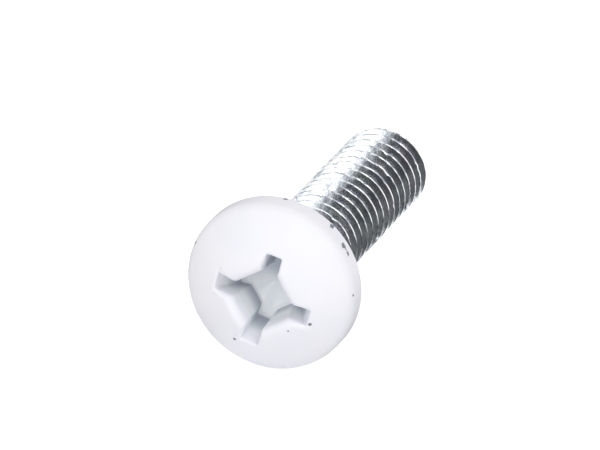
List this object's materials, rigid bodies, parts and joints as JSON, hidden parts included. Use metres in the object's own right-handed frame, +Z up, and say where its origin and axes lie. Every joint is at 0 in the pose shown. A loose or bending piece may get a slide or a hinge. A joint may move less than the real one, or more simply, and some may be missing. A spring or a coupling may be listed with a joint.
{
  "type": "pan head machine screw",
  "caption": "Machine screw with a low domed pan head, a cross recess, a short plain neck and a fine full-length thread, lying on its side.",
  "frame": {"origin": "on the floor under the middle of the screw's box, as the screw lies on its side", "axes": "+X from the head towards the end of the shank, +Z up; the screw's own axis leans 8.4 degrees down towards +X"},
  "size_m": [0.0195, 0.0092, 0.0092],
  "materials": {
    "zinc_plate": "bright zinc plate over rolled steel, with a glossy white paint on the head",
    "white_paint": "glossy white paint, thin and bluish in the recess, chipped at the rim"
  },
  "bodies": {
    "root": {"screw": "zinc_plate"}
  },
  "joints": []
}
